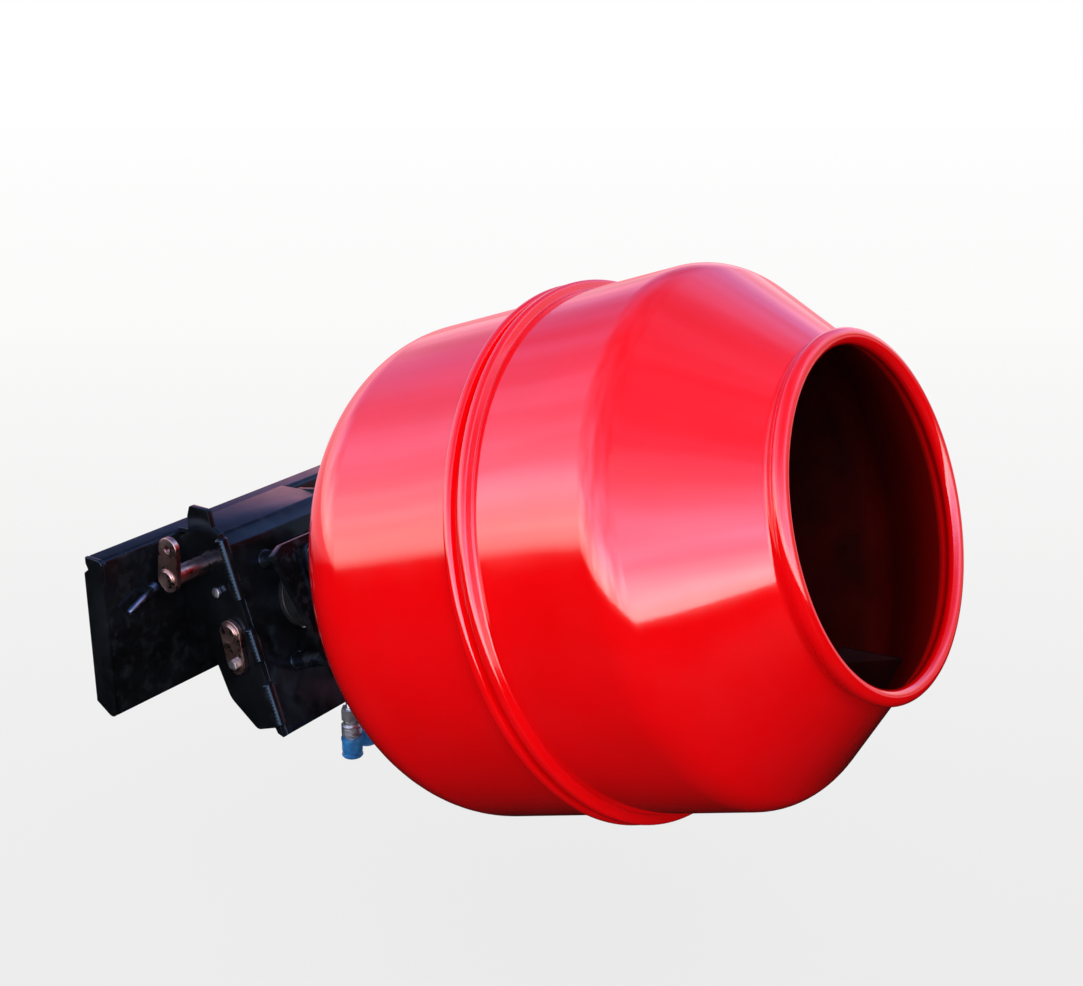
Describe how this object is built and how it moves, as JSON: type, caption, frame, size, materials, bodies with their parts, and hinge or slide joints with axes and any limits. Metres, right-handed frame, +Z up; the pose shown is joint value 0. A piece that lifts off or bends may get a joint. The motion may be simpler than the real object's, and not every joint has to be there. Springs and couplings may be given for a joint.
{
  "type": "concrete mixer drum attachment",
  "caption": "Hydraulically driven tilted mixing drum carried on a bracket with a quick-attach plate, for the front of a compact loader.",
  "frame": {"origin": "centre of the quick-attach plate's contact face, which rests on the loader", "axes": "+X forward from the loader towards the drum's mouth, +Y to the loader's left, +Z up; the drum's axis lies in the XZ plane, 19.5 degrees above +X"},
  "size_m": [1.0456, 0.624, 0.7084],
  "materials": {
    "red_paint": "gloss enamel, red",
    "red_inside": "red primer, dull",
    "black_paint": "semi-gloss black powder coat",
    "zinc_steel": "zinc plated",
    "pin_steel": "bare steel, lightly browned",
    "bearing_steel": "ground",
    "seal_rubber": "matt",
    "motor_paint": "satin black",
    "blue_plastic": "moulded, satin"
  },
  "bodies": {
    "root": {"attach_plate": "black_paint", "plate_end_near": "black_paint", "plate_end_far": "black_paint", "ear_near": "black_paint", "ear_far": "black_paint", "cheek_near": "black_paint", "cheek_far": "black_paint", "cradle_panel": "black_paint", "mount_plate": "black_paint", "standoff_1": "black_paint", "standoff_2": "black_paint", "standoff_3": "black_paint", "standoff_4": "black_paint", "bearing_housing": "black_paint", "keeper_lug": "black_paint", "mount_bolt_1": "zinc_steel", "mount_bolt_2": "zinc_steel", "mount_bolt_3": "zinc_steel", "mount_bolt_4": "zinc_steel", "motor_bolt_1": "zinc_steel", "motor_bolt_2": "zinc_steel", "motor_bolt_3": "zinc_steel", "motor_bolt_4": "zinc_steel", "upper_flag_bolt_near": "zinc_steel", "upper_flag_bolt_far": "zinc_steel", "lower_flag_bolt_near": "zinc_steel", "lower_flag_bolt_far": "zinc_steel", "pressure_port_fitting": "zinc_steel", "return_port_fitting": "zinc_steel", "pressure_pipe": "zinc_steel", "return_pipe": "zinc_steel", "female_coupling_body": "zinc_steel", "male_coupling_body": "zinc_steel", "upper_pin_far": "pin_steel", "lower_pin_near": "pin_steel", "lower_pin_far": "pin_steel", "front_bearing_outer": "bearing_steel", "rear_bearing_outer": "bearing_steel", "shaft_seal": "seal_rubber", "motor_port_housing": "motor_paint", "motor_rotor_ring": "motor_paint", "motor_end_cover": "motor_paint"},
    "drum": {"drum_bowl": "red_paint", "drum_cone": "red_paint", "blade_1": "red_inside", "blade_2": "red_inside", "backing_plate": "red_inside", "hub_flange": "black_paint", "hub_bolt_1": "zinc_steel", "hub_bolt_2": "zinc_steel", "hub_bolt_3": "zinc_steel", "hub_bolt_4": "zinc_steel", "drive_shaft": "bearing_steel", "front_bearing_inner": "bearing_steel", "rear_bearing_inner": "bearing_steel"},
    "upper_pin": {"upper_pin_near": "pin_steel"},
    "female_cap": {"female_dust_cap": "blue_plastic"},
    "male_cap": {"male_dust_cap": "blue_plastic"},
    "sleeve": {"coupling_sleeve": "zinc_steel"},
    "locking_pin": {"locking_pin": "zinc_steel"}
  },
  "joints": [
    {"name": "drum_turn", "type": "hinge", "parent": "root", "child": "drum", "pos_m": [0.3197, 0, 0.0847], "axis": [0.9426, 0, 0.3338], "continuous": true},
    {"name": "upper_pin_slide", "type": "slide", "parent": "root", "child": "upper_pin", "axis": [0, -1, 0], "range_m": [-0.055, 0.035]},
    {"name": "female_cap_pull", "type": "slide", "parent": "root", "child": "female_cap", "axis": [0, 0, -1], "range_m": [0, 0.03]},
    {"name": "male_cap_pull", "type": "slide", "parent": "root", "child": "male_cap", "axis": [0, 0, -1], "range_m": [0, 0.03]},
    {"name": "sleeve_slide", "type": "slide", "parent": "root", "child": "sleeve", "axis": [0, 0, 1], "range_m": [0, 0.005], "stiffness_N_per_m": 1500, "springref_m": -0.002},
    {"name": "locking_pin_pull", "type": "slide", "parent": "root", "child": "locking_pin", "axis": [0, 0.9135, 0.4067], "range_m": [0, 0.045]}
  ]
}
